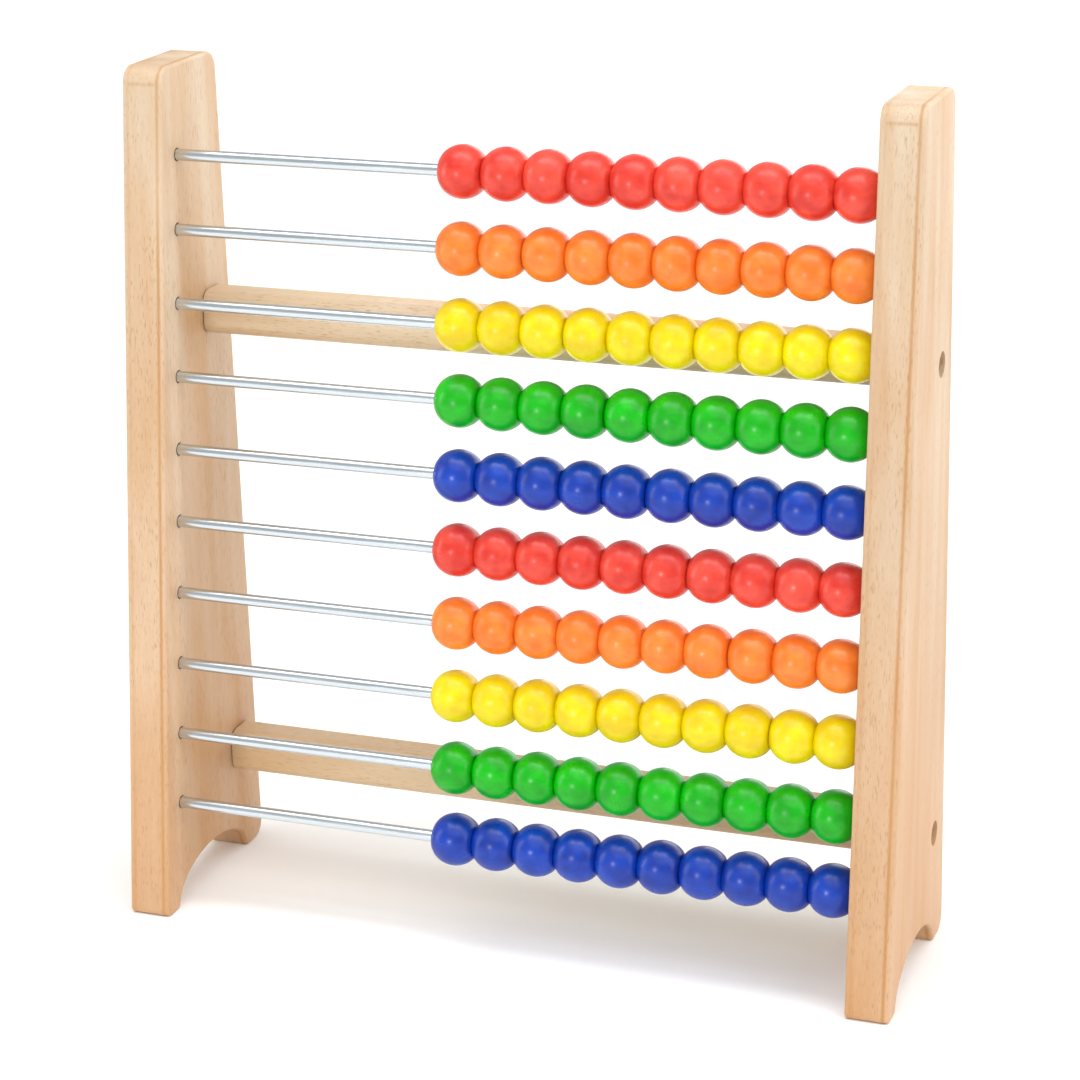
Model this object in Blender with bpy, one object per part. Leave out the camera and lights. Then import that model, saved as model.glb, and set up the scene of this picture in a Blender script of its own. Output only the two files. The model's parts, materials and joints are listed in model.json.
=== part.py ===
"""Counting frame with ten rods of ten beads between two wooden side boards.

Metres, +Z up. X runs along the rods, the front of the frame faces -Y.
The origin lies on the ground, under the middle of the frame's box.
"""
import math

import bmesh
import bpy
from mathutils import Matrix, Vector

# side boards; their height follows from the rods
top_margin = 0.030          # top rod to the level top edge
board_thickness = 0.0147
base_depth = 0.078          # front to rear along the ground
top_depth = 0.040           # along the top edge
front_lean = math.radians(5.3)
top_corner_radius = 0.006
foot_corner_radius = 0.0022
arch_corner_radius = 0.0011
rear_heel_radius = 0.006
edge_radius = 0.0025        # long edges, all round both faces
front_foot_length = 0.0095
rear_foot_length = 0.0135
arch_height = 0.0135

# rods; the distance between the boards follows from the beads
free_rod_length = 0.0955    # left bare when all beads are pushed to one side
row_count = 10
rod_pitch = 0.025           # along the leaning front edge
rod_diameter = 0.004
rod_setback = 0.0107        # square to the front edge
bottom_rod_height = 0.038
rod_insertion = 0.009       # into each board
rod_end_gap = 0.0005
rod_hole_clearance = 0.0003

# beads
beads_per_rod = 10
bead_width = 0.01445
bead_diameter = 0.018
bead_face_diameter = 0.0098
bead_bore_clearance = 0.0003
bead_gap = 0.0003           # between beads that are separate pieces

# cross rails and their screws
rail_section = 0.0152
rail_edge_radius = 0.0042
upper_rail_rod = 3          # this rod, counted from the top, has the upper rail behind it
upper_rail_drop = 0.00775   # rail axis below that rod
lower_rail_rise = 0.0028    # rail axis above the bottom rod
rail_inset = 0.0145         # rail axis in front of the board's rear edge
rail_gap = 0.0003
screw_recess_diameter = 0.0086
screw_recess_depth = 0.0045
screw_head_diameter = 0.0076
screw_head_height = 0.0026
screw_dome_height = 0.0012
screw_crown_diameter = 0.0047
screw_shank_diameter = 0.0038
screw_length = 0.032
screw_point_length = 0.0042
screw_clearance = 0.0003

# facets and tools
corner_steps = 5
heel_steps = 4
foot_steps = 3
arch_corner_steps = 2
arch_steps = 16
board_edge_steps = 3
rail_edge_steps = 4
bead_sides = 12
bead_arc_steps = 4
rod_sides = 12
recess_sides = 20
tool_overshoot = 0.01       # how far a cutting tool stands out of its piece

row_colours = {
    "red": (0.86, 0.07, 0.05),
    "orange": (0.95, 0.22, 0.03),
    "yellow": (0.91, 0.74, 0.005),
    "green": (0.01, 0.42, 0.02),
    "blue": (0.015, 0.05, 0.42),
}
beech_colour = (0.80, 0.58, 0.36)
rail_colour = (0.76, 0.54, 0.33)
steel_colour = (0.62, 0.65, 0.68)
screw_colour = (0.40, 0.38, 0.34)

lean_slope = math.tan(front_lean)
rod_step_up = rod_pitch * math.cos(front_lean)
board_height = bottom_rod_height + (row_count - 1) * rod_step_up + top_margin
inner_width = beads_per_rod * bead_width + free_rod_length
front_y = -base_depth / 2
rear_y = base_depth / 2
# corners of the level top edge
top_front = Vector((front_y + board_height * lean_slope, board_height))
top_rear = top_front + Vector((top_depth, 0))


def front_edge_y(height):
    return front_y + height * lean_slope


def rear_edge_y(height):
    return rear_y + (top_rear.x - rear_y) * height / top_rear.y


def rod_axis(row):
    """Y and Z of a rod's axis; row 0 is the top rod."""
    steps = row_count - 1 - row
    height = bottom_rod_height + steps * rod_step_up
    return front_edge_y(height) + rod_setback / math.cos(front_lean), height


def clear_scene():
    for item in list(bpy.data.objects):
        bpy.data.objects.remove(item, do_unlink=True)


def make_material(name, colour, roughness, metallic=0.0):
    material = bpy.data.materials.new(name)
    material.use_nodes = True
    shader = material.node_tree.nodes["Principled BSDF"]
    shader.inputs["Base Color"].default_value = (*colour, 1.0)
    shader.inputs["Roughness"].default_value = roughness
    shader.inputs["Metallic"].default_value = metallic
    material.diffuse_color = (*colour, 1.0)
    return material


def object_from_bmesh(name, mesh_builder, material=None, smooth_angle=35):
    mesh_builder.normal_update()
    mesh = bpy.data.meshes.new(name)
    mesh_builder.to_mesh(mesh)
    mesh_builder.free()
    mesh.shade_smooth()
    mesh.set_sharp_from_angle(angle=math.radians(smooth_angle))
    piece = bpy.data.objects.new(name, mesh)
    bpy.context.collection.objects.link(piece)
    if material:
        mesh.materials.append(material)
    return piece


def rounded_corner(corner, before, after, radius, steps):
    """Arc that replaces a corner between two straight edges."""
    to_before = (before - corner).normalized()
    to_after = (after - corner).normalized()
    half_angle = to_before.angle(to_after) / 2
    centre = corner + (to_before + to_after).normalized() * (radius / math.sin(half_angle))
    start = corner + to_before * (radius / math.tan(half_angle)) - centre
    end = corner + to_after * (radius / math.tan(half_angle)) - centre
    sweep = math.atan2(start.cross(end), start.dot(end))
    points = []
    for step in range(steps + 1):
        turn = sweep * step / steps
        points.append(centre + Matrix.Rotation(turn, 2) @ start)
    return points


def arch_points(steps):
    """Elliptical arch between the feet, from the rear foot to the front foot."""
    arch_rear = rear_y - rear_foot_length
    arch_front = front_y + front_foot_length
    half_span = (arch_rear - arch_front) / 2
    middle = (arch_rear + arch_front) / 2
    points = []
    for step in range(steps + 1):
        angle = math.pi * step / steps
        points.append(Vector((middle + half_span * math.cos(angle), arch_height * math.sin(angle))))
    return points


def board_outline():
    """Side view of a board as (y, z) points, going round once."""
    ground_front = Vector((front_y, 0.0))
    ground_rear = Vector((rear_y, 0.0))
    arch = arch_points(arch_steps)
    outline = []
    outline += rounded_corner(top_front, ground_front, top_rear, top_corner_radius, corner_steps)
    outline += rounded_corner(top_rear, top_front, ground_rear, top_corner_radius, corner_steps)
    outline += rounded_corner(ground_rear, top_rear, arch[0], rear_heel_radius, heel_steps)
    outline += rounded_corner(arch[0], ground_rear, arch[1], arch_corner_radius, arch_corner_steps)
    outline += arch[2:-2]
    outline += rounded_corner(arch[-1], arch[-2], ground_front, arch_corner_radius, arch_corner_steps)
    outline += rounded_corner(ground_front, arch[-1], top_front, foot_corner_radius, foot_steps)
    return outline


def add_cylinder_x(name, x_start, x_end, y, z, radius, sides):
    """Closed cylinder along X between two planes."""
    builder = bmesh.new()
    along_x = Matrix.Rotation(math.pi / 2, 4, "Y")
    place = Matrix.Translation(((x_start + x_end) / 2, y, z)) @ along_x
    bmesh.ops.create_cone(
        builder, cap_ends=True, segments=sides, radius1=radius, radius2=radius,
        depth=abs(x_end - x_start), matrix=place)
    return object_from_bmesh(name, builder)


def cut(target, cutter, label):
    """Cut a hole with a hidden tool that follows its target."""
    cutter.hide_render = True
    cutter.display_type = "WIRE"
    cutter.hide_set(True)
    modifier = target.modifiers.new(label, "BOOLEAN")
    modifier.operation = "DIFFERENCE"
    modifier.solver = "EXACT"
    modifier.object = cutter


def add_board(name, side, material):
    """Side board; side is -1 for the left board and +1 for the right."""
    inner_x = side * inner_width / 2
    outer_x = side * (inner_width / 2 + board_thickness)
    builder = bmesh.new()
    outline = board_outline()
    verts = [builder.verts.new((inner_x, point.x, point.y)) for point in outline]
    face = builder.faces.new(verts)
    extruded = bmesh.ops.extrude_face_region(builder, geom=[face])
    moved = [item for item in extruded["geom"] if isinstance(item, bmesh.types.BMVert)]
    bmesh.ops.translate(builder, verts=moved, vec=(outer_x - inner_x, 0, 0))
    bmesh.ops.recalc_face_normals(builder, faces=builder.faces)
    board = object_from_bmesh(name, builder, material)

    bevel = board.modifiers.new("rounded_edges", "BEVEL")
    bevel.width = edge_radius
    bevel.segments = board_edge_steps
    bevel.limit_method = "ANGLE"
    bevel.angle_limit = math.radians(60)

    hole_radius = rod_diameter / 2 + rod_hole_clearance
    hole_bottom = inner_x + side * (rod_insertion + rod_end_gap)
    for row in range(row_count):
        y, z = rod_axis(row)
        tool = add_cylinder_x(f"{name}_rod_hole_{row + 1}", inner_x - side * tool_overshoot, hole_bottom,
                              y, z, hole_radius, rod_sides)
        cut(board, tool, f"rod_hole_{row + 1}")
    for rail_name, height in rail_heights.items():
        y = rail_axis_y(height)
        recess_bottom = outer_x - side * screw_recess_depth
        recess = add_cylinder_x(
            f"{name}_{rail_name}_recess", outer_x + side * tool_overshoot, recess_bottom,
            y, height, screw_recess_diameter / 2, recess_sides)
        cut(board, recess, f"{rail_name}_recess")
        shank_hole = add_cylinder_x(
            f"{name}_{rail_name}_shank_hole", inner_x - side * tool_overshoot,
            outer_x + side * tool_overshoot, y, height,
            screw_shank_diameter / 2 + screw_clearance, rod_sides)
        cut(board, shank_hole, f"{rail_name}_shank_hole")
    return board


def rail_axis_y(height):
    return rear_edge_y(height) - rail_inset


rail_heights = {
    "upper_rail": rod_axis(upper_rail_rod - 1)[1] - upper_rail_drop,
    "lower_rail": bottom_rod_height + lower_rail_rise,
}


def rail_pilot_depth():
    """Depth of the screw hole in a rail's end."""
    wood_under_head = board_thickness - screw_recess_depth
    return screw_length - wood_under_head + screw_clearance


def add_rail(name, height, material):
    """Square cross rail with rounded long edges, screwed between the boards."""
    y = rail_axis_y(height)
    half_length = inner_width / 2 - rail_gap
    builder = bmesh.new()
    size = Matrix.Diagonal((2 * half_length, rail_section, rail_section, 1.0))
    bmesh.ops.create_cube(builder, size=1.0, matrix=Matrix.Translation((0, y, height)) @ size)
    long_edges = [edge for edge in builder.edges
                  if abs(edge.verts[0].co.x - edge.verts[1].co.x) > half_length]
    bmesh.ops.bevel(builder, geom=long_edges, offset=rail_edge_radius, segments=rail_edge_steps,
                    profile=0.5, affect="EDGES")
    rail = object_from_bmesh(name, builder, material)
    for side, side_name in ((-1, "left"), (1, "right")):
        end_x = side * half_length
        hole_bottom = end_x - side * (rail_pilot_depth() - rail_gap)
        tool = add_cylinder_x(f"{name}_{side_name}_pilot", end_x + side * tool_overshoot, hole_bottom,
                              y, height, screw_shank_diameter / 2 + screw_clearance, rod_sides)
        cut(rail, tool, f"{side_name}_pilot")
    return rail


def turned_body(name, profile, sides, y, z, material):
    """Closed solid of revolution about an axis along X; profile holds (x, radius) rings."""
    builder = bmesh.new()
    rings = []
    for x, radius in profile:
        if radius == 0:
            rings.append([builder.verts.new((x, y, z))])
            continue
        ring = []
        for step in range(sides):
            angle = 2 * math.pi * step / sides
            ring.append(builder.verts.new((x, y + radius * math.cos(angle), z + radius * math.sin(angle))))
        rings.append(ring)
    closed = profile[0][1] > 0
    pairs = list(zip(rings, rings[1:]))
    if closed:
        pairs.append((rings[-1], rings[0]))
    for first, second in pairs:
        for step in range(sides):
            following = (step + 1) % sides
            corners = [first[step % len(first)], first[following % len(first)],
                       second[following % len(second)], second[step % len(second)]]
            unique = list(dict.fromkeys(corners))
            builder.faces.new(unique)
    bmesh.ops.recalc_face_normals(builder, faces=builder.faces)
    return object_from_bmesh(name, builder, material)


def add_screw(name, side, height, material):
    """Pan-head screw, its head in the board's recess."""
    outer_x = side * (inner_width / 2 + board_thickness)
    head_seat = outer_x - side * (screw_recess_depth - screw_clearance)
    head_top = head_seat + side * screw_head_height
    tip = head_seat - side * (screw_length - screw_clearance * 2)
    shank = screw_shank_diameter / 2
    head = screw_head_diameter / 2
    profile = [
        (head_top, 0.0),
        (head_top - side * screw_dome_height / 5, screw_crown_diameter / 2),
        (head_top - side * screw_dome_height, head),
        (head_seat, head),
        (head_seat, shank),
        (tip + side * screw_point_length, shank),
        (tip, 0.0),
    ]
    return turned_body(name, profile, rod_sides, rail_axis_y(height), height, material)


def bead_string_profile(x_left, bead_number):
    """Outer rings of touching beads, then the bore that runs through them all."""
    face_radius = bead_face_diameter / 2
    ball_radius = bead_diameter / 2
    shoulder_angle = math.asin(face_radius / ball_radius)
    rings = []
    for bead in range(bead_number):
        x = x_left + bead * bead_width
        last = bead == bead_number - 1
        for part in range(bead_arc_steps + 1 if last else bead_arc_steps):
            angle = shoulder_angle + (math.pi - 2 * shoulder_angle) * part / bead_arc_steps
            along = (1 - math.cos(angle) / math.cos(shoulder_angle)) / 2
            rings.append((x + bead_width * along, ball_radius * math.sin(angle)))
    bore_radius = rod_diameter / 2 + bead_bore_clearance
    rings.append((x_left + bead_number * bead_width, bore_radius))
    rings.append((x_left, bore_radius))
    return rings


def bead_groups(row):
    """Names, groups and bead numbers of a row's pieces, from right to left.

    Row n parts after n beads from the left. Each moving group is led by a single bead.
    """
    number = row + 1
    right_group = beads_per_rod - number
    left_group = number
    pieces = []
    for group, size in (("right", right_group), ("left", left_group)):
        if size == 0:
            continue
        if size > 1:
            pieces.append((f"row{row + 1:02d}_{group}_beads", group, size - 1))
        pieces.append((f"row{row + 1:02d}_{group}_lead_bead", group, 1))
    return pieces


def add_row(row, rod_material, bead_material):
    """One rod with its beads pushed to the right."""
    y, z = rod_axis(row)
    half_rod = inner_width / 2 + rod_insertion
    axis = bpy.data.objects.new(f"row{row + 1:02d}_axis", None)
    axis.location = (0, y, z)
    bpy.context.collection.objects.link(axis)
    rod = add_cylinder_x(f"row{row + 1:02d}_rod", -half_rod, half_rod, 0, 0,
                         rod_diameter / 2, rod_sides)
    rod.data.materials.append(rod_material)
    rod.parent = axis
    x_right = inner_width / 2 - bead_gap
    for name, group, size in bead_groups(row):
        x_left = x_right - size * bead_width
        beads = turned_body(name, bead_string_profile(0, size), bead_sides, 0, 0, bead_material)
        beads.parent = axis
        beads.location.x = x_left
        x_right = x_left - bead_gap


def build():
    clear_scene()
    beech = make_material("beech_board", beech_colour, 0.5)
    rail_wood = make_material("beech_rail", rail_colour, 0.55)
    steel = make_material("rod_steel", steel_colour, 0.25, 1.0)
    screw_steel = make_material("screw_steel", screw_colour, 0.4, 1.0)
    paints = [make_material(f"{colour}_paint", value, 0.35) for colour, value in row_colours.items()]

    add_board("left_board", -1, beech)
    add_board("right_board", 1, beech)
    for rail_name, height in rail_heights.items():
        add_rail(rail_name, height, rail_wood)
        add_screw(f"{rail_name}_left_screw", -1, height, screw_steel)
        add_screw(f"{rail_name}_right_screw", 1, height, screw_steel)
    for row in range(row_count):
        add_row(row, steel, paints[row % len(paints)])


build()
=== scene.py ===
import json
import math

import bmesh
import bpy
from mathutils import Matrix, Vector

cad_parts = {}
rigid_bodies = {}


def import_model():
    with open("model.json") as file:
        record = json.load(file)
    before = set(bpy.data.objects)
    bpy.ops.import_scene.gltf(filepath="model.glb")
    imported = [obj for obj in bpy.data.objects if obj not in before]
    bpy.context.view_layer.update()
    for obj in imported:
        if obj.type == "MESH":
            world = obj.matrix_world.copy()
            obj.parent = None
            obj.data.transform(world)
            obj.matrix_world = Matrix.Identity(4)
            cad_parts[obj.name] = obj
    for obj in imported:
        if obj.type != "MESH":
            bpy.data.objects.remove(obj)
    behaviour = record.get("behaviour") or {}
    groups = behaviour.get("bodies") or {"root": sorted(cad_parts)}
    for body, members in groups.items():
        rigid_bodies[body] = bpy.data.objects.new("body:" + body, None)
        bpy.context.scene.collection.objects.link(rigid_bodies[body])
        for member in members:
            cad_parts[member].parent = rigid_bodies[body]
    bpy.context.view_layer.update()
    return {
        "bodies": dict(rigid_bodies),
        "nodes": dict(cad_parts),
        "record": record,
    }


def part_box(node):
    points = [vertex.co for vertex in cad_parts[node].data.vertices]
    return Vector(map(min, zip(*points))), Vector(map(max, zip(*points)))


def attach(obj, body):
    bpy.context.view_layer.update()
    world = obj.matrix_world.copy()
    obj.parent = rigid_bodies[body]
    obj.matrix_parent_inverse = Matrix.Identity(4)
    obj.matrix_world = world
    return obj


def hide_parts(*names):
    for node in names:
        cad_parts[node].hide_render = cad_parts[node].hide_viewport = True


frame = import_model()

mergeDistance = 1e-6    # m, corners closer than this are one
cutterReach = 0.01      # m that a drill starts outside the face it cuts
print("counting frame: frame loaded with", len(frame["nodes"]), "nodes")


def hexColour(text):  # sRGB hex to linear RGBA
    channels = [int(text[i:i + 2], 16) / 255 for i in (1, 3, 5)]
    linear = [c / 12.92 if c <= 0.04045 else ((c + 0.055) / 1.055) ** 2.4 for c in channels]
    return (*linear, 1.0)


def addNode(tree, kind, settings=None, **links):
    # one node with its settings; links are socket=value or socket=(node, output),
    # where i0 is the first input and _ stands for a space in a socket's name
    node = tree.nodes.new(kind)
    for name, value in (settings or {}).items():
        setattr(node, name, value)
    for name, value in links.items():
        key = int(name[1:]) if name[0] == "i" and name[1:].isdigit() else name.replace("_", " ")
        if isinstance(value, tuple) and len(value) == 2 and hasattr(value[0], "outputs"):
            tree.links.new(value[0].outputs[value[1]], node.inputs[key])
        else:
            node.inputs[key].default_value = value
    return node


def setRamp(node, edges, colours):
    for element, edge, colour in zip(node.color_ramp.elements, edges, colours):
        element.position = edge
        element.color = hexColour(colour)


def startMaterial(name):
    material = bpy.data.materials.new(name)
    material.use_nodes = True
    tree = material.node_tree
    tree.nodes.clear()
    shader = addNode(tree, "ShaderNodeBsdfPrincipled")
    addNode(tree, "ShaderNodeOutputMaterial", Surface=(shader, "BSDF"))
    return material, tree, shader


def smoothFaces(mesh, sharpAngle):  # smooth shading, but sharp at edges past this many degrees
    mesh.shade_smooth()
    mesh.set_sharp_from_angle(angle=math.radians(sharpAngle))


def finishMesh(name, builder, material, sharpAngle):
    bmesh.ops.remove_doubles(builder, verts=builder.verts, dist=mergeDistance)
    bmesh.ops.recalc_face_normals(builder, faces=builder.faces)
    mesh = bpy.data.meshes.new(name)
    builder.to_mesh(mesh)
    builder.free()
    smoothFaces(mesh, sharpAngle)
    mesh.materials.append(material)
    piece = bpy.data.objects.new(name, mesh)
    bpy.context.collection.objects.link(piece)
    return piece


def bakeModifiers(piece):
    # the evaluated shape as a plain mesh, no modifier left
    depsgraph = bpy.context.evaluated_depsgraph_get()
    name = piece.name
    mesh = bpy.data.meshes.new_from_object(piece.evaluated_get(depsgraph), depsgraph=depsgraph)
    piece.modifiers.clear()
    piece.data = mesh
    mesh.name = name


def cylinderAlongX(name, xStart, xEnd, y, z, radius, sides):
    builder = bmesh.new()
    place = Matrix.Translation(((xStart + xEnd) / 2, y, z)) @ Matrix.Rotation(math.pi / 2, 4, "Y")
    bmesh.ops.create_cone(builder, cap_ends=True, segments=sides, radius1=radius, radius2=radius,
                          depth=abs(xEnd - xStart), matrix=place)
    mesh = bpy.data.meshes.new(name)
    builder.to_mesh(mesh)
    builder.free()
    tool = bpy.data.objects.new(name, mesh)
    bpy.context.collection.objects.link(tool)
    return tool


def subtract(piece, tools):
    for tool in tools:
        cut = piece.modifiers.new(tool.name, "BOOLEAN")
        cut.operation = "DIFFERENCE"
        cut.solver = "EXACT"
        cut.object = tool


def removeTools(tools):
    for tool in tools:
        bpy.data.objects.remove(tool, do_unlink=True)


boardLow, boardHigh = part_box("right_board")
innerX = boardLow[0]    # inner face of the right board
outerX = boardHigh[0]
joints = frame["record"]["behaviour"]["joints"]
rowCount = sum(joint["name"].endswith("_spin") for joint in joints)


def rodAxis(row):  # y and z of a rod, from its joint
    spin = next(joint for joint in joints if joint["name"] == f"rod_{row:02d}_spin")
    return spin["pos_m"][1], spin["pos_m"][2]


beechFinish = {
    "pale": "#d3bea4",        # sapwood between the growth rings
    "warm": "#c7a27a",        # late wood
    "footShade": "#c78a4f",       # painted shade, a deeper tone towards the foot
    "fleck": "#a87646",       # ray flecks, short dashes along the grain
    "edgeShade": "#b57d3c",     # painted shade on the rounded edges of the front faces
    "ringSpacing": 5.0,       # mm between bands of late wood
    "ringsPerCell": 3,        # bands that one cell of the noise shows
    "ringEdges": (0.36, 0.68),
    "fleckWidth": 0.17,       # mm
    "fleckLength": 1.7,       # mm
    "flecksPerCell": (2.6, 2),
    "fleckEdges": (0.57, 0.73),
    "fleckStrength": 0.5,
    "bandRepeat": 7,          # cycles per metre along the grain
    "fibreRepeat": (1500, 30),    # cycles per metre across and along the grain
    "cloudRepeat": (14, 9),
    "patchRepeat": (70, 22),
    "cloudTone": (0.94, 1.04),
    "fibreTone": (0.955, 1.035),
    "seedStep": (0.13, 0.07, 0.29),   # m between the cuts of wood of two pieces
    "footShadeTop": 0.27,         # m, height where the painted shade starts
    "footShadeShare": 0.5,
    "roughness": 0.48,
    "specular": 0.35,
    "lineDepth": 0.0020,      # m from the wide face to the painted shade line
    "lineWidth": 0.0010,
    "lineShadeRange": (0.4, 0.75),  # the painted shade line fades and darkens along its length
    "faintShare": 0.3,        # share of the painted shade on the other long edge
    "capShare": 0.55,
    "capHeight": 0.2866,      # where the narrow face turns into the top corner
}


def shadeLine(tree, place, patches, look, leftX):
    # thin line of painted shade on the rounding, along the edges of the narrow faces: strong on the +X edge,
    # faint on the other, softer across the top corner
    maths = "ShaderNodeMath"

    def stripe(socket, centre, halfWidth):
        offset = addNode(tree, maths, {"operation": "SUBTRACT"}, i0=(place, socket), i1=centre)
        distance = addNode(tree, maths, {"operation": "ABSOLUTE"}, i0=(offset, "Value"))
        band = addNode(tree, "ShaderNodeMapRange", {"interpolation_type": "SMOOTHSTEP"},
                       Value=(distance, "Value"), From_Min=halfWidth, From_Max=0.0)
        return (band, "Result")

    depth, width = look["lineDepth"], look["lineWidth"]
    thickness = outerX - innerX
    strong = stripe("X", leftX + thickness - depth, width)
    faint = addNode(tree, maths, {"operation": "MULTIPLY"}, i0=stripe("X", leftX + depth, width),
                    i1=look["faintShare"])
    sides = addNode(tree, maths, {"operation": "MAXIMUM"}, i0=strong, i1=(faint, "Value"))
    halfFace = thickness / 2 - depth
    across = addNode(tree, maths, {"operation": "COMPARE"}, i0=(place, "X"), i1=leftX + depth + halfFace,
                     i2=halfFace)
    front = addNode(tree, maths, {"operation": "LESS_THAN"}, i0=(place, "Y"), i1=0.0)
    narrow = addNode(tree, maths, {"operation": "MULTIPLY"}, i0=(across, "Value"), i1=(front, "Value"))
    cap = addNode(tree, maths, {"operation": "MULTIPLY"}, i0=stripe("Z", look["capHeight"], width),
                  i1=(narrow, "Value"))
    softCap = addNode(tree, maths, {"operation": "MULTIPLY"}, i0=(cap, "Value"), i1=look["capShare"])
    line = addNode(tree, maths, {"operation": "MAXIMUM"}, i0=(sides, "Value"), i1=(softCap, "Value"))
    uneven = addNode(tree, "ShaderNodeMapRange", Value=(patches, "Fac"), From_Min=0.3, From_Max=0.6,
                     To_Min=look["lineShadeRange"][0], To_Max=look["lineShadeRange"][1])
    return addNode(tree, maths, {"operation": "MULTIPLY"}, i0=(line, "Value"), i1=(uneven, "Result"))


def makeBeech(name, grainAxis, look, seed, leftX=0.0):
    # European beech, planed and sanded under a thin matte lacquer: soft bands along the grain,
    # many short dark ray flecks, a little pore relief, a painted shade that deepens towards the foot and a
    # painted shade line on the rounded edges
    material, tree, shader = startMaterial(name)
    coords = addNode(tree, "ShaderNodeTexCoord")
    shift = addNode(tree, "ShaderNodeMapping", Vector=(coords, "Object"))
    shift.inputs["Location"].default_value = [seed * step for step in look["seedStep"]]

    def grainMap(across, along):  # cycles per metre across and along the grain
        scale = [across, across, across]
        scale[grainAxis] = along
        node = addNode(tree, "ShaderNodeMapping", Vector=(shift, "Vector"))
        node.inputs["Scale"].default_value = scale
        return node

    bandMap = grainMap(1000 / look["ringSpacing"] / look["ringsPerCell"], look["bandRepeat"])
    bands = addNode(tree, "ShaderNodeTexNoise", Vector=(bandMap, "Vector"),
                    Scale=1.0, Detail=3.0, Roughness=0.55, Distortion=0.4)
    fibreMap = grainMap(*look["fibreRepeat"])
    fibres = addNode(tree, "ShaderNodeTexNoise", Vector=(fibreMap, "Vector"),
                     Scale=1.0, Detail=2.0, Roughness=0.6)
    cloudMap = grainMap(*look["cloudRepeat"])
    clouds = addNode(tree, "ShaderNodeTexNoise", Vector=(cloudMap, "Vector"), Scale=1.0, Detail=1.0)
    fleckMap = grainMap(1000 / look["fleckWidth"] / look["flecksPerCell"][0],
                        1000 / look["fleckLength"] / look["flecksPerCell"][1])
    flecks = addNode(tree, "ShaderNodeTexNoise", Vector=(fleckMap, "Vector"),
                     Scale=1.0, Detail=1.0, Roughness=0.4)
    fleckMask = addNode(tree, "ShaderNodeMapRange", Value=(flecks, "Fac"),
                        From_Min=look["fleckEdges"][0], From_Max=look["fleckEdges"][1],
                        To_Min=0.0, To_Max=look["fleckStrength"])
    patchMap = grainMap(*look["patchRepeat"])
    patches = addNode(tree, "ShaderNodeTexNoise", Vector=(patchMap, "Vector"), Scale=1.0, Detail=1.0)
    patchMask = addNode(tree, "ShaderNodeMapRange", Value=(patches, "Fac"), From_Min=0.35, From_Max=0.6,
                        To_Min=0.4, To_Max=1.0)
    fleckAmount = addNode(tree, "ShaderNodeMath", {"operation": "MULTIPLY"},
                          i0=(fleckMask, "Result"), i1=(patchMask, "Result"))

    bandRamp = addNode(tree, "ShaderNodeValToRGB", Fac=(bands, "Fac"))
    setRamp(bandRamp, look["ringEdges"], (look["pale"], look["warm"]))
    cloudTone = addNode(tree, "ShaderNodeMapRange", Value=(clouds, "Fac"), From_Min=0.3, From_Max=0.7,
                        To_Min=look["cloudTone"][0], To_Max=look["cloudTone"][1])
    fibreTone = addNode(tree, "ShaderNodeMapRange", Value=(fibres, "Fac"), From_Min=0.25, From_Max=0.75,
                        To_Min=look["fibreTone"][0], To_Max=look["fibreTone"][1])
    tone = addNode(tree, "ShaderNodeMath", {"operation": "MULTIPLY"},
                   i0=(cloudTone, "Result"), i1=(fibreTone, "Result"))
    place = addNode(tree, "ShaderNodeSeparateXYZ", Vector=(coords, "Object"))
    # painted shade: the colour turns deeper towards the foot
    footDepth = addNode(tree, "ShaderNodeMapRange", Value=(place, "Z"), From_Min=look["footShadeTop"],
                        From_Max=0.0, To_Min=0.0, To_Max=look["footShadeShare"])
    footShaded = addNode(tree, "ShaderNodeMix", {"data_type": "RGBA", "blend_type": "MIX"},
                   Factor=(footDepth, "Result"))
    tree.links.new(bandRamp.outputs["Color"], footShaded.inputs[6])
    footShaded.inputs[7].default_value = hexColour(look["footShade"])
    toned = addNode(tree, "ShaderNodeVectorMath", {"operation": "SCALE"}, i0=(footShaded, 2),
                    Scale=(tone, "Value"))
    flecked = addNode(tree, "ShaderNodeMix", {"data_type": "RGBA", "blend_type": "MIX"},
                      Factor=(fleckAmount, "Value"))
    tree.links.new(toned.outputs["Vector"], flecked.inputs[6])
    flecked.inputs[7].default_value = hexColour(look["fleck"])
    # painted shade: a darker line mixed over the rounded front edges
    edgeShaded = addNode(tree, "ShaderNodeMix", {"data_type": "RGBA", "blend_type": "MIX"})
    tree.links.new(flecked.outputs[2], edgeShaded.inputs[6])
    edgeShaded.inputs[7].default_value = hexColour(look["edgeShade"])
    edgeShaded.inputs[0].default_value = 0.0
    tree.links.new(edgeShaded.outputs[2], shader.inputs["Base Color"])
    if grainAxis == 2:  # an upright board, the only kind with a routed outline and the painted shade line on its edges
        line = shadeLine(tree, place, patches, look, leftX)
        tree.links.new(line.outputs["Value"], edgeShaded.inputs[0])

    roughMix = addNode(tree, "ShaderNodeMapRange", Value=(fibres, "Fac"), From_Min=0.2, From_Max=0.8,
                       To_Min=look["roughness"] - 0.06, To_Max=look["roughness"] + 0.08)
    tree.links.new(roughMix.outputs["Result"], shader.inputs["Roughness"])
    relief = addNode(tree, "ShaderNodeMath", {"operation": "MULTIPLY_ADD"},
                     i0=(fleckAmount, "Value"), i1=-0.8, i2=(fibres, "Fac"))
    bump = addNode(tree, "ShaderNodeBump", Height=(relief, "Value"), Strength=0.12, Distance=0.0002)
    tree.links.new(bump.outputs["Normal"], shader.inputs["Normal"])
    shader.inputs["IOR"].default_value = 1.46
    shader.inputs["Specular IOR Level"].default_value = look["specular"]
    return material


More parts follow.
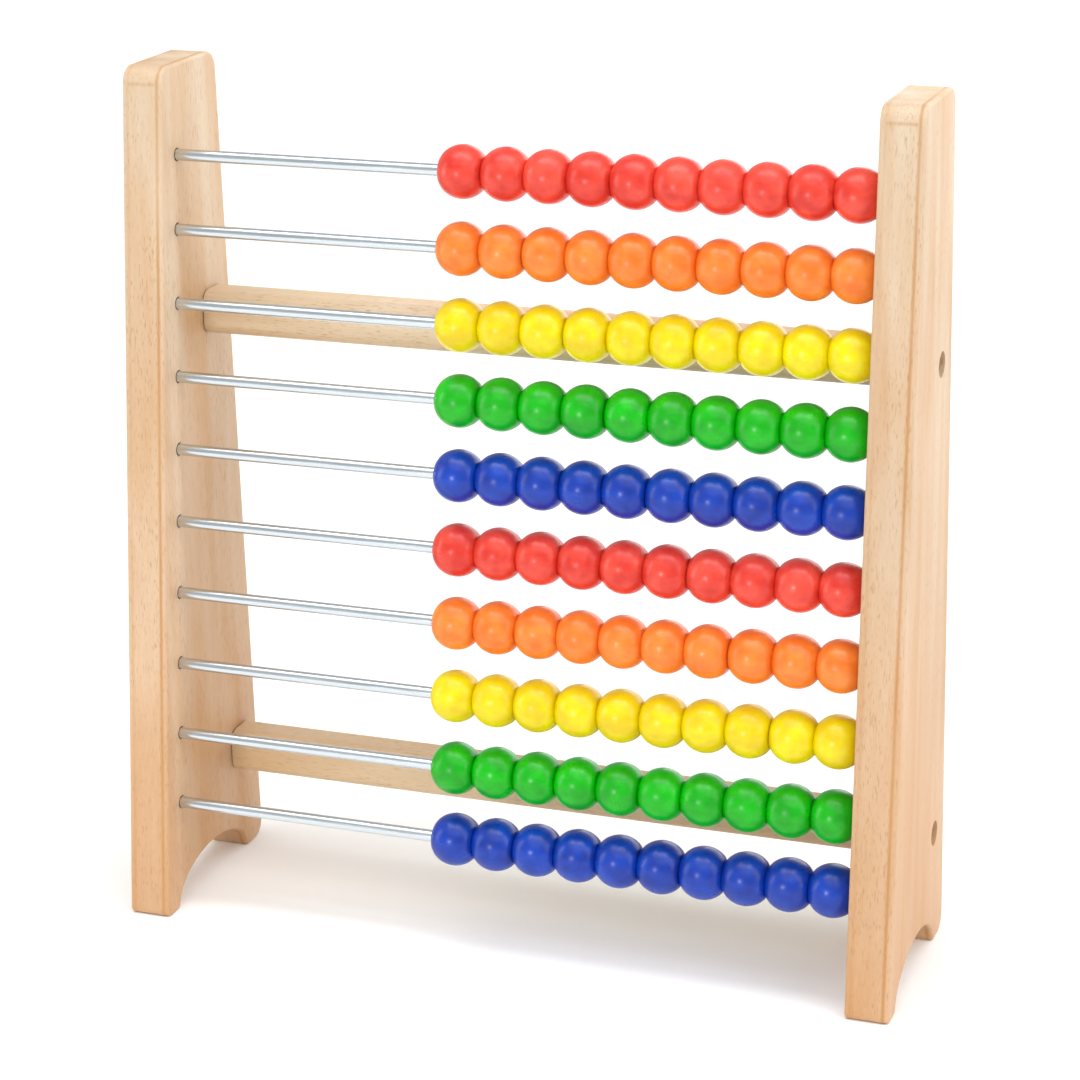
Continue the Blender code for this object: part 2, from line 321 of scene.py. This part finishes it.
paintFinish = {
    "red": ("#e94f3c", "#cf2f22"),
    "orange": ("#f18b39", "#e66f1c"),
    "yellow": ("#e9dc02", "#dcc000"),
    "green": ("#03b806", "#029806"),
    "blue": ("#0b40b2", "#062c90"),
    "roughness": 0.29,
    "specular": 0.45,
    "grainSpacing": 0.9,      # mm between the wood fibres that show through
    "grainsPerCell": 3,       # fibres that one cell of the noise shows
    "alongRepeat": 60,        # cycles per metre along the bead
    "cloudRepeat": 160,       # cycles per metre of the uneven paint
    "fibreShare": 0.45,
    "beadShare": 0.16,        # how much one bead's tone differs from the next
    "toneEdges": (0.55, 1.55),
}


def makePaint(name, shades, look):
    # water-based satin enamel sprayed on turned beech: even colour, soft wide highlight,
    # a trace of the fibres and slightly deeper colour where the paint pools
    material, tree, shader = startMaterial(name)
    coords = addNode(tree, "ShaderNodeTexCoord")
    tone = addNode(tree, "ShaderNodeAttribute", {"attribute_name": "beadTone"})
    turn = addNode(tree, "ShaderNodeMath", {"operation": "MULTIPLY"}, i0=(tone, "Fac"), i1=math.tau)
    swirl = addNode(tree, "ShaderNodeVectorRotate", {"rotation_type": "X_AXIS"},
                    Vector=(coords, "Object"), Angle=(turn, "Value"))
    place = addNode(tree, "ShaderNodeMapping", Vector=(swirl, "Vector"))
    acrossRepeat = 1000 / look["grainSpacing"] / look["grainsPerCell"]
    place.inputs["Scale"].default_value = (look["alongRepeat"], acrossRepeat, acrossRepeat)
    fibres = addNode(tree, "ShaderNodeTexNoise", Vector=(place, "Vector"),
                     Scale=1.0, Detail=3.0, Roughness=0.6)
    clouds = addNode(tree, "ShaderNodeTexNoise", Vector=(coords, "Object"),
                     Scale=look["cloudRepeat"], Detail=2.0)
    blend = addNode(tree, "ShaderNodeMath", {"operation": "MULTIPLY_ADD"},
                    i0=(fibres, "Fac"), i1=look["fibreShare"], i2=(clouds, "Fac"))
    shifted = addNode(tree, "ShaderNodeMath", {"operation": "MULTIPLY_ADD"},
                      i0=(tone, "Fac"), i1=look["beadShare"], i2=(blend, "Value"))
    ramp = addNode(tree, "ShaderNodeValToRGB", Fac=(shifted, "Value"))
    setRamp(ramp, look["toneEdges"], shades)
    tree.links.new(ramp.outputs["Color"], shader.inputs["Base Color"])
    rough = addNode(tree, "ShaderNodeMapRange", Value=(clouds, "Fac"), From_Min=0.3, From_Max=0.7,
                    To_Min=look["roughness"] - 0.03, To_Max=look["roughness"] + 0.05)
    tree.links.new(rough.outputs["Result"], shader.inputs["Roughness"])
    bump = addNode(tree, "ShaderNodeBump", Height=(fibres, "Fac"), Strength=0.10, Distance=0.0002)
    tree.links.new(bump.outputs["Normal"], shader.inputs["Normal"])
    shader.inputs["IOR"].default_value = 1.48
    shader.inputs["Specular IOR Level"].default_value = look["specular"]
    return material


steelFinish = {
    "rod": {"colour": "#cfd7dc", "roughness": 0.20, "lineSpacing": 0.4},    # mm between drawn lines
    "screw": {"colour": "#a79a80", "roughness": 0.38, "lineSpacing": 0.25},
    "lineStretch": 40,        # how much longer a drawn line is than wide
}


def makeSteel(name, look, lineStretch):
    # drawn and plated steel, bright zinc on the rods and yellow passivated zinc on the screws:
    # mirror-like, blurred a little by faint lines along the wire
    material, tree, shader = startMaterial(name)
    drawScale, roughness = 1000 / look["lineSpacing"], look["roughness"]
    coords = addNode(tree, "ShaderNodeTexCoord")
    place = addNode(tree, "ShaderNodeMapping", Vector=(coords, "Object"))
    place.inputs["Scale"].default_value = (drawScale / lineStretch, drawScale, drawScale)
    lines = addNode(tree, "ShaderNodeTexNoise", Vector=(place, "Vector"), Scale=1.0, Detail=3.0)
    rough = addNode(tree, "ShaderNodeMapRange", Value=(lines, "Fac"), From_Min=0.3, From_Max=0.7,
                    To_Min=roughness - 0.05, To_Max=roughness + 0.07)
    tree.links.new(rough.outputs["Result"], shader.inputs["Roughness"])
    bump = addNode(tree, "ShaderNodeBump", Height=(lines, "Fac"), Strength=0.06, Distance=0.0001)
    tree.links.new(bump.outputs["Normal"], shader.inputs["Normal"])
    shader.inputs["Base Color"].default_value = hexColour(look["colour"])
    shader.inputs["Metallic"].default_value = 1.0
    return material


beechBoard = [makeBeech("beechBoardLeft", 2, beechFinish, 1, -outerX),
              makeBeech("beechBoardRight", 2, beechFinish, 2, innerX)]
# the rails get the same painted shade towards the foot, in a paler tone
railFinish = dict(beechFinish, pale="#e5d2b6", warm="#d6b78f", footShade="#d6b78f")
beechRail = [makeBeech("beechRailUpper", 0, railFinish, 3), makeBeech("beechRailLower", 0, railFinish, 4)]
rowColours = ["red", "orange", "yellow", "green", "blue"]   # from the top, and then again
paints = {colour: makePaint(f"{colour}SatinEnamel", paintFinish[colour], paintFinish)
          for colour in rowColours}
rodSteel = makeSteel("zincPlatedRodSteel", steelFinish["rod"], steelFinish["lineStretch"])
screwSteel = makeSteel("yellowedScrewSteel", steelFinish["screw"], steelFinish["lineStretch"])
print("counting frame: materials made")

board = {
    "height": boardHigh[2] - boardLow[2],
    "baseDepth": 0.078,
    "topDepth": 0.040,
    "lean": math.radians(5.3),     # front edge from upright
    "topRadius": 0.006,
    "footRadius": 0.0022,
    "heelRadius": 0.006,
    "archRadius": 0.0011,
    "edgeRadius": 0.0025,
    "frontFoot": 0.0095,
    "rearFoot": 0.0135,
    "archHeight": 0.0135,
    "arcSteps": 14,
    "footSteps": 8,
    "archSteps": 64,
    "archCornerSteps": 5,
    "archCornerShare": 16,         # the arch's rounded ends take one step in so many
    "roundingSteps": 6,
    "roundingAngle": 60,           # degrees, past which an edge is rounded
    "rodHoleRadius": 0.0023,
    "rodHoleDepth": 0.0095,
    "rodHoleSides": 28,
    "recessRadius": 0.0043,
    "recessDepth": 0.0045,
    "recessSides": 40,
    "shankHoleRadius": 0.0022,
    "shankHoleSides": 20,
    "sharpAngle": 35,
}
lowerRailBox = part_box("lower_rail")
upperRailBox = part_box("upper_rail")
railCentres = [((low[1] + high[1]) / 2, (low[2] + high[2]) / 2)
               for low, high in (upperRailBox, lowerRailBox)]


def roundedCorner(corner, before, after, radius, steps):  # arc tangent to both edges at a corner
    toBefore = (before - corner).normalized()
    toAfter = (after - corner).normalized()
    half = toBefore.angle(toAfter) / 2
    centre = corner + (toBefore + toAfter).normalized() * (radius / math.sin(half))
    start = corner + toBefore * (radius / math.tan(half)) - centre
    end = corner + toAfter * (radius / math.tan(half)) - centre
    sweep = math.atan2(start.cross(end), start.dot(end))
    return [centre + Matrix.Rotation(sweep * i / steps, 2) @ start for i in range(steps + 1)]


def boardOutline(size):
    frontY, rearY = -size["baseDepth"] / 2, size["baseDepth"] / 2
    topFront = Vector((frontY + size["height"] * math.tan(size["lean"]), size["height"]))
    topRear = topFront + Vector((size["topDepth"], 0))
    groundFront, groundRear = Vector((frontY, 0)), Vector((rearY, 0))
    archRear, archFront = rearY - size["rearFoot"], frontY + size["frontFoot"]
    middle, halfSpan = (archRear + archFront) / 2, (archRear - archFront) / 2
    steps = size["archSteps"]
    arch = []
    for i in range(steps + 1):
        angle = math.pi * i / steps
        arch.append(Vector((middle + halfSpan * math.cos(angle), size["archHeight"] * math.sin(angle))))
    skip = steps // size["archCornerShare"]
    points = roundedCorner(topFront, groundFront, topRear, size["topRadius"], size["arcSteps"])
    points += roundedCorner(topRear, topFront, groundRear, size["topRadius"], size["arcSteps"])
    points += roundedCorner(groundRear, topRear, arch[0], size["heelRadius"], size["arcSteps"])
    cornerSteps = size["archCornerSteps"]
    points += roundedCorner(arch[0], groundRear, arch[skip], size["archRadius"], cornerSteps)
    points += arch[2 * skip:-2 * skip]
    points += roundedCorner(arch[-1], arch[-1 - skip], groundFront, size["archRadius"], cornerSteps)
    points += roundedCorner(groundFront, arch[-1], topFront, size["footRadius"], size["footSteps"])
    return points


def makeBoard(name, side, material, size):
    # the outline drawn out from the inner to the outer face, its long edges rounded by a bevel
    outline = boardOutline(size)
    inner, outer = side * innerX, side * outerX
    builder = bmesh.new()
    verts = [builder.verts.new((inner, p.x, p.y)) for p in outline]
    face = builder.faces.new(verts)
    moved = bmesh.ops.extrude_face_region(builder, geom=[face])["geom"]
    bmesh.ops.translate(builder, verts=[v for v in moved if isinstance(v, bmesh.types.BMVert)],
                        vec=(outer - inner, 0, 0))
    piece = finishMesh(name, builder, material, size["sharpAngle"])
    rounding = piece.modifiers.new("routedEdges", "BEVEL")
    rounding.width = size["edgeRadius"]
    rounding.segments = size["roundingSteps"]
    rounding.limit_method = "ANGLE"
    rounding.angle_limit = math.radians(size["roundingAngle"])
    rounding.harden_normals = False
    tools = []
    reach = side * cutterReach
    for row in range(1, rowCount + 1):
        y, z = rodAxis(row)
        tools.append(cylinderAlongX(f"rodDrill{row}", inner - reach, inner + side * size["rodHoleDepth"],
                                    y, z, size["rodHoleRadius"], size["rodHoleSides"]))
    for index, (y, z) in enumerate(railCentres):
        tools.append(cylinderAlongX(f"recessDrill{index}", outer + reach, outer - side * size["recessDepth"],
                                    y, z, size["recessRadius"], size["recessSides"]))
        tools.append(cylinderAlongX(f"shankDrill{index}", inner - reach, outer + reach,
                                    y, z, size["shankHoleRadius"], size["shankHoleSides"]))
    subtract(piece, tools)
    bakeModifiers(piece)
    removeTools(tools)
    smoothFaces(piece.data, size["sharpAngle"])
    return piece


for side, sideName, material in ((-1, "left", beechBoard[0]), (1, "right", beechBoard[1])):
    piece = makeBoard(f"{sideName}SideBoard", side, material, board)
    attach(piece, "frame")
    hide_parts(f"{sideName}_board")
print("counting frame: side boards made")

rail = {
    "edgeRadius": 0.0042,
    "roundingSteps": 10,
    "endChamfer": 0.0004,
    "chamferSteps": 2,
    "pilotRadius": 0.0022,
    "pilotDepth": 0.024725,
    "pilotSides": 20,
    "sharpAngle": 40,
}


def makeRail(name, low, high, material, size):
    # square stock with rounded long edges; the ends are sawn square and barely eased
    builder = bmesh.new()
    centre = [(low[i] + high[i]) / 2 for i in range(3)]
    half = [(high[i] - low[i]) / 2 for i in range(3)]
    matrix = Matrix.Translation(centre) @ Matrix.Diagonal((2 * half[0], 2 * half[1], 2 * half[2], 1.0))
    bmesh.ops.create_cube(builder, size=1.0, matrix=matrix)
    longEdges = [e for e in builder.edges if abs(e.verts[0].co.x - e.verts[1].co.x) > half[0]]
    bmesh.ops.bevel(builder, geom=longEdges, offset=size["edgeRadius"], segments=size["roundingSteps"],
                    profile=0.5, affect="EDGES")
    endEdges = [e for e in builder.edges
                if all(abs(abs(vert.co.x) - half[0]) < mergeDistance for vert in e.verts)]
    bmesh.ops.bevel(builder, geom=endEdges, offset=size["endChamfer"], segments=size["chamferSteps"],
                    profile=0.5, affect="EDGES")
    piece = finishMesh(name, builder, material, size["sharpAngle"])
    tools = []
    for side in (-1, 1):
        end = side * half[0]
        tools.append(cylinderAlongX(f"pilotDrill{side}", end + side * cutterReach,
                                    end - side * size["pilotDepth"], centre[1], centre[2],
                                    size["pilotRadius"], size["pilotSides"]))
    subtract(piece, tools)
    bakeModifiers(piece)
    removeTools(tools)
    smoothFaces(piece.data, size["sharpAngle"])
    return piece


for railName, (low, high), material in (("upper", upperRailBox, beechRail[0]),
                                        ("lower", lowerRailBox, beechRail[1])):
    piece = makeRail(f"{railName}CrossRail", low, high, material, rail)
    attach(piece, "frame")
    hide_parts(f"{railName}_rail")
print("counting frame: cross rails made")

screw = {
    "headRadius": 0.0038,
    "headHeight": 0.0026,
    "crownShare": 0.5,      # of the head's height that is domed
    "crownSteps": 8,
    "rimChamfer": 0.0002,
    "shankRadius": 0.0019,
    "crossWidth": 0.0009,
    "crossReach": 0.0021,
    "crossDepth": 0.0013,
    "pointLength": 0.0042,
    "sides": 40,
    "sharpAngle": 30,
    "seed": 3,
}


def turnedMesh(profile, sides):
    # a ring of corners about X for each (x, radius); radius 0 is the one point that closes an end
    builder = bmesh.new()
    rings = []
    for x, radius in profile:
        if radius == 0:
            rings.append([builder.verts.new((x, 0, 0))])
        else:
            angles = [2 * math.pi * i / sides for i in range(sides)]
            rings.append([builder.verts.new((x, radius * math.cos(angle), radius * math.sin(angle)))
                          for angle in angles])
    return builder, rings


def bridgeRings(builder, rings, sides, closeLoop=False):
    pairs = list(zip(rings, rings[1:])) + ([(rings[-1], rings[0])] if closeLoop else [])
    for first, second in pairs:
        for i in range(sides):
            j = (i + 1) % sides
            corners = [first[i % len(first)], first[j % len(first)],
                       second[j % len(second)], second[i % len(second)]]
            builder.faces.new(list(dict.fromkeys(corners)))  # a triangle where a ring is one point


def screwBlank(size, length, material):
    # pan head with a cross recess, crown at the origin, plain shank that tapers to a point at -X
    crown, chamfer = size["headHeight"] * size["crownShare"], size["rimChamfer"]
    profile = [(0, 0)]
    for i in range(1, size["crownSteps"] + 1):
        angle = math.pi / 2 * i / size["crownSteps"]
        profile.append((-crown * (1 - math.cos(angle)), size["headRadius"] * math.sin(angle)))
    profile += [(chamfer - size["headHeight"], size["headRadius"]),
                (-size["headHeight"], size["headRadius"] - chamfer),
                (-size["headHeight"], size["shankRadius"]),
                (size["pointLength"] - length, size["shankRadius"]), (-length, 0)]
    builder, rings = turnedMesh(profile, size["sides"])
    bridgeRings(builder, rings, size["sides"])
    piece = finishMesh("screwBlank", builder, material, size["sharpAngle"])
    tools = []
    for index in range(2):
        cross = bmesh.new()
        place = (Matrix.Rotation(math.pi / 2 * index, 4, "X")
                 @ Matrix.Diagonal((2 * size["crossDepth"], 2 * size["crossReach"], size["crossWidth"], 1.0)))
        bmesh.ops.create_cube(cross, size=1.0, matrix=place)
        mesh = bpy.data.meshes.new(f"crossTool{index}")
        cross.to_mesh(mesh)
        cross.free()
        tools.append(bpy.data.objects.new(f"crossTool{index}", mesh))
        bpy.context.collection.objects.link(tools[-1])
    subtract(piece, tools)
    bakeModifiers(piece)
    removeTools(tools)
    return piece


def screwSetTree():
    # one screw at every point, head outwards, its cross turned at random
    tree = bpy.data.node_groups.new("screwSet", "GeometryNodeTree")
    sockets = tree.interface
    sockets.new_socket("Geometry", in_out="INPUT", socket_type="NodeSocketGeometry")
    for label, kind in (("Screw", "NodeSocketObject"), ("Seed", "NodeSocketInt"),
                        ("Finish", "NodeSocketMaterial")):
        sockets.new_socket(label, in_out="INPUT", socket_type=kind)
    sockets.new_socket("Geometry", in_out="OUTPUT", socket_type="NodeSocketGeometry")
    given = addNode(tree, "NodeGroupInput")
    blank = addNode(tree, "GeometryNodeObjectInfo", Object=(given, "Screw"))
    spot = addNode(tree, "GeometryNodeInputPosition")
    reach = addNode(tree, "ShaderNodeSeparateXYZ", Vector=(spot, "Position"))
    onLeft = addNode(tree, "ShaderNodeMath", {"operation": "LESS_THAN"}, i0=(reach, "X"), i1=0.0)
    halfTurn = addNode(tree, "ShaderNodeMath", {"operation": "MULTIPLY"}, i0=(onLeft, "Value"), i1=math.pi)
    driven = addNode(tree, "FunctionNodeRandomValue", {"data_type": "FLOAT"}, i3=math.tau,
                     Seed=(given, "Seed"))
    turn = addNode(tree, "ShaderNodeCombineXYZ", X=(driven, 1), Z=(halfTurn, "Value"))
    placed = addNode(tree, "GeometryNodeInstanceOnPoints", Points=(given, "Geometry"),
                     Instance=(blank, "Geometry"), Rotation=(turn, "Vector"))
    real = addNode(tree, "GeometryNodeRealizeInstances", Geometry=(placed, "Instances"))
    coated = addNode(tree, "GeometryNodeSetMaterial", Geometry=(real, "Geometry"), Material=(given, "Finish"))
    addNode(tree, "NodeGroupOutput", Geometry=(coated, "Geometry"))
    return tree


def socketNames(tree):
    return {item.name: item.identifier for item in tree.interface.items_tree if item.in_out == "INPUT"}


screwNodes = [f"{railName}_rail_{sideName}_screw"
              for railName in ("upper", "lower") for sideName in ("left", "right")]
screwPoints = bpy.data.meshes.new("frameScrews")
crowns = []
for nodeName in screwNodes:
    low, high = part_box(nodeName)
    crowns.append((low[0] if low[0] < 0 else high[0], (low[1] + high[1]) / 2, (low[2] + high[2]) / 2))
    screwLength = high[0] - low[0]  # the same for all four
screwPoints.from_pydata(crowns, [], [])
frameScrews = bpy.data.objects.new("frameScrews", screwPoints)
bpy.context.collection.objects.link(frameScrews)
blank = screwBlank(screw, screwLength, screwSteel)
drive = frameScrews.modifiers.new("screwSet", "NODES")
drive.node_group = screwSetTree()
names = socketNames(drive.node_group)
drive[names["Screw"]] = blank
drive[names["Seed"]] = screw["seed"]
drive[names["Finish"]] = screwSteel
bakeModifiers(frameScrews)
removeTools([blank])
smoothFaces(frameScrews.data, screw["sharpAngle"])
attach(frameScrews, "frame")
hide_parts(*screwNodes)
print("counting frame: screws made")

rod = {
    "radius": 0.002,
    "endChamfer": 0.0003,
    "sides": 40,
    "lengths": 24,          # quads along the rod, which keeps them short
    "sharpAngle": 30,
}


def makeRod(name, low, high, material, size):
    radius, chamfer, lengths = size["radius"], size["endChamfer"], size["lengths"]
    profile = [(low[0], 0), (low[0], radius - chamfer), (low[0] + chamfer, radius)]
    profile += [(low[0] + (high[0] - low[0]) * i / lengths, radius) for i in range(1, lengths)]
    profile += [(high[0] - chamfer, radius), (high[0], radius - chamfer), (high[0], 0)]
    builder, rings = turnedMesh(profile, size["sides"])
    bridgeRings(builder, rings, size["sides"])
    bmesh.ops.translate(builder, verts=builder.verts,
                        vec=(0, (low[1] + high[1]) / 2, (low[2] + high[2]) / 2))
    return finishMesh(name, builder, material, size["sharpAngle"])


for row in range(1, rowCount + 1):
    low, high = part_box(f"row{row:02d}_rod")
    piece = makeRod(f"rod{row:02d}", low, high, rodSteel, rod)
    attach(piece, f"rod_{row:02d}")
    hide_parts(f"row{row:02d}_rod")
print("counting frame: rods made")

bead = {
    "width": 0.01445,
    "radius": 0.0089,
    "boreRadius": 0.0024,
    "faceRadius": 0.0050,       # flat end that meets the next bead
    "boreChamfer": 0.0004,
    "flatBlend": 24,            # higher turns the ball into the flat end more suddenly
    "arcSteps": 22,
    "sides": 48,
    "sharpAngle": 50,
    "airGap": 0.00004,          # between neighbours in one group
    "sizeSpread": 0.012,        # turned beads differ a little
    "seed": 7,
}


def beadBlank(name, width, size, material):
    # a ball turned flat at both ends and bored through, axis along X, left end at X = 0
    half = width / 2
    ball = size["radius"]
    profile = [(0.0, size["boreRadius"] + size["boreChamfer"]), (0.0, size["faceRadius"])]
    shoulder = math.atan2(size["faceRadius"], half)
    steps = size["arcSteps"]
    for i in range(1, steps):
        angle = shoulder + (math.pi - 2 * shoulder) * i / steps
        reach = math.cos(angle) / math.cos(shoulder)
        radius = ball * math.sqrt(max(0.0, 1 - (half * reach / ball) ** 2))
        edgeFade = abs(reach) ** size["flatBlend"]
        radius = radius * (1 - edgeFade) + size["faceRadius"] * edgeFade  # runs into the flat end
        profile.append((half - half * reach, radius))
    profile += [(width, size["faceRadius"]), (width, size["boreRadius"] + size["boreChamfer"]),
                (width - size["boreChamfer"], size["boreRadius"]), (size["boreChamfer"], size["boreRadius"])]
    builder, rings = turnedMesh(profile, size["sides"])
    bridgeRings(builder, rings, size["sides"], closeLoop=True)
    return finishMesh(name, builder, material, size["sharpAngle"])


def beadRowTree():
    # repeats the bead blank along the rod; every bead is turned and sized a little differently
    tree = bpy.data.node_groups.new("beadRow", "GeometryNodeTree")
    sockets = tree.interface
    sockets.new_socket("Geometry", in_out="INPUT", socket_type="NodeSocketGeometry")
    for label, kind in (("Bead Count", "NodeSocketInt"), ("Bead Pitch", "NodeSocketFloat"),
                        ("Start", "NodeSocketVector"), ("Size Spread", "NodeSocketFloat"),
                        ("Seed", "NodeSocketInt"), ("Paint", "NodeSocketMaterial")):
        sockets.new_socket(label, in_out="INPUT", socket_type=kind)
    sockets.new_socket("Geometry", in_out="OUTPUT", socket_type="NodeSocketGeometry")
    given = addNode(tree, "NodeGroupInput")
    step = addNode(tree, "ShaderNodeCombineXYZ", X=(given, "Bead Pitch"))
    places = addNode(tree, "GeometryNodeMeshLine", Count=(given, "Bead Count"),
                     Start_Location=(given, "Start"), Offset=(step, "Vector"))
    turn = addNode(tree, "FunctionNodeRandomValue", {"data_type": "FLOAT_VECTOR"}, i0=(0, 0, 0),
                   i1=(math.tau, 0, 0), Seed=(given, "Seed"))
    smallest = addNode(tree, "ShaderNodeMath", {"operation": "SUBTRACT"}, i0=1.0, i1=(given, "Size Spread"))
    girth = addNode(tree, "FunctionNodeRandomValue", {"data_type": "FLOAT"}, i2=(smallest, "Value"),
                    i3=1.0, Seed=(given, "Seed"))
    scale = addNode(tree, "ShaderNodeCombineXYZ", X=1.0, Y=(girth, 1), Z=(girth, 1))
    placed = addNode(tree, "GeometryNodeInstanceOnPoints", Points=(places, "Mesh"),
                     Instance=(given, "Geometry"), Rotation=(turn, 0), Scale=(scale, "Vector"))
    shade = addNode(tree, "FunctionNodeRandomValue", {"data_type": "FLOAT"}, Seed=(given, "Seed"))
    tone = addNode(tree, "GeometryNodeStoreNamedAttribute", {"data_type": "FLOAT", "domain": "INSTANCE"},
                   Geometry=(placed, "Instances"), Name="beadTone", Value=(shade, 1))
    real = addNode(tree, "GeometryNodeRealizeInstances", Geometry=(tone, "Geometry"))
    painted = addNode(tree, "GeometryNodeSetMaterial", Geometry=(real, "Geometry"),
                      Material=(given, "Paint"))
    addNode(tree, "NodeGroupOutput", Geometry=(painted, "Geometry"))
    return tree


def beadGroup(name, nodes, y, z, material, tree, size, seed):
    # one run of beads that slides together, between the ends of its CAD nodes
    boxes = [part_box(node) for node in nodes]
    left = min(low[0] for low, high in boxes)
    right = max(high[0] for low, high in boxes)
    count = round((right - left) / size["width"])
    pitch = (right - left) / count
    piece = beadBlank(name, pitch - size["airGap"], size, material)
    repeat = piece.modifiers.new("beadRow", "NODES")
    repeat.node_group = tree
    names = socketNames(tree)
    repeat[names["Bead Count"]] = count
    repeat[names["Bead Pitch"]] = pitch
    repeat[names["Start"]] = (left + size["airGap"] / 2, y, z)
    repeat[names["Size Spread"]] = size["sizeSpread"]
    repeat[names["Seed"]] = seed
    repeat[names["Paint"]] = material
    bakeModifiers(piece)
    smoothFaces(piece.data, size["sharpAngle"])
    return piece, count


beadTree = beadRowTree()
beadTotal = 0
for row in range(1, rowCount + 1):
    y, z = rodAxis(row)
    colour = rowColours[(row - 1) % len(rowColours)]
    for groupName in ("right", "left"):
        bodyName = f"{groupName}_beads_{row:02d}"
        if bodyName not in frame["bodies"]:  # the last row moves as one group
            continue
        nodes = frame["record"]["behaviour"]["bodies"][bodyName]
        piece, count = beadGroup(f"row{row:02d}{groupName.capitalize()}Beads", nodes, y, z, paints[colour],
                                 beadTree, bead, bead["seed"] + row * 2 + (groupName == "left"))
        beadTotal += count
        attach(piece, bodyName)
        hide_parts(*nodes)
print("counting frame: beads made:", beadTotal)

studio = {
    "floorColour": "#fafafa",
    "floorSize": 14.0,
    "floorRoughness": 0.9,
    "floorSpecular": 0.1,
    "worldStrength": 0.58,
    "middle": (0, 0, 0.15),     # what the lamps point at
    "skyPlace": (0.15, -0.35, 1.3),
    "skyStrength": 1.05,        # one wide even light, W/m2
    "skyAngle": 70,
    "lamps": {                  # place, width, height, W
        "frontSoftbox": ((-0.25, -1.35, 0.28), 0.18, 0.18, 3.4),
        "leftSoftbox": ((-1.3, -0.45, 0.45), 0.35, 0.9, 3.0),
        "rightSoftbox": ((1.3, -0.25, 0.7), 0.9, 1.2, 6.8),
        "overheadSoftbox": ((0.0, -0.15, 1.3), 1.4, 0.4, 6.0),
    },
    "backWash": ((0.7, 2.4, 0.8), 3.0, 1.3, 27.0),
    "backWashTarget": (0.0, 0.0, 0.3),
}


def makeFloor(size):
    builder = bmesh.new()
    bmesh.ops.create_grid(builder, x_segments=1, y_segments=1, size=size["floorSize"] / 2)
    material, tree, shader = startMaterial("palePaperFloor")
    shader.inputs["Base Color"].default_value = hexColour(size["floorColour"])
    shader.inputs["Roughness"].default_value = size["floorRoughness"]
    shader.inputs["Specular IOR Level"].default_value = size["floorSpecular"]
    return finishMesh("studioFloor", builder, material, sharpAngle=40)


floor = makeFloor(studio)


def aimAt(item, target):
    direction = Vector(target) - item.location
    item.rotation_euler = direction.to_track_quat("-Z", "Y").to_euler()


def areaLight(name, place, target, width, height, power):
    data = bpy.data.lights.new(name, "AREA")
    data.shape = "RECTANGLE"
    data.size, data.size_y = width, height
    data.energy = power
    lamp = bpy.data.objects.new(name, data)
    lamp.location = place
    lamp.visible_camera = False
    bpy.context.collection.objects.link(lamp)
    aimAt(lamp, target)


for lampName, (place, width, height, power) in studio["lamps"].items():
    areaLight(lampName, place, studio["middle"], width, height, power)
place, width, height, power = studio["backWash"]
areaLight("rearSoftbox", place, studio["backWashTarget"], width, height, power)

sky = bpy.data.lights.new("skyLight", "SUN")
sky.energy = studio["skyStrength"]
sky.angle = math.radians(studio["skyAngle"])
skyLamp = bpy.data.objects.new("skyLight", sky)
skyLamp.location = studio["skyPlace"]
bpy.context.collection.objects.link(skyLamp)
aimAt(skyLamp, studio["middle"])

world = bpy.data.worlds.new("whiteStudio")
world.use_nodes = True
background = world.node_tree.nodes["Background"]
background.inputs["Color"].default_value = (1.0, 1.0, 1.0, 1.0)
background.inputs["Strength"].default_value = studio["worldStrength"]
bpy.context.scene.world = world

view = {
    "place": (0.33386, -0.904204, 0.462376),
    "yaw": math.radians(19.9777),     # turned towards -X from straight along +Y
    "pitch": math.radians(16.9275),   # looking down
    "roll": math.radians(-0.8460),
    "sensorWidth": 36.0,              # mm
    "focalLength": 102.072,           # mm
    "shift": (0.0, -1 / 12),          # in picture widths, sets the object in the middle
    "clip": (0.05, 50),               # m
}


def makeCamera(look):
    data = bpy.data.cameras.new("studioCamera")
    data.sensor_fit = "HORIZONTAL"
    data.sensor_width = look["sensorWidth"]
    data.lens = look["focalLength"]
    data.shift_x, data.shift_y = look["shift"]
    data.clip_start, data.clip_end = look["clip"]
    camera = bpy.data.objects.new("studioCamera", data)
    turn = (Matrix.Rotation(look["yaw"], 4, "Z") @ Matrix.Rotation(math.pi / 2 - look["pitch"], 4, "X")
            @ Matrix.Rotation(look["roll"], 4, "Z"))
    camera.matrix_world = Matrix.Translation(look["place"]) @ turn
    bpy.context.collection.objects.link(camera)
    bpy.context.scene.camera = camera


makeCamera(view)
bpy.context.scene.view_settings.view_transform = "Standard"
print("counting frame: stage made")
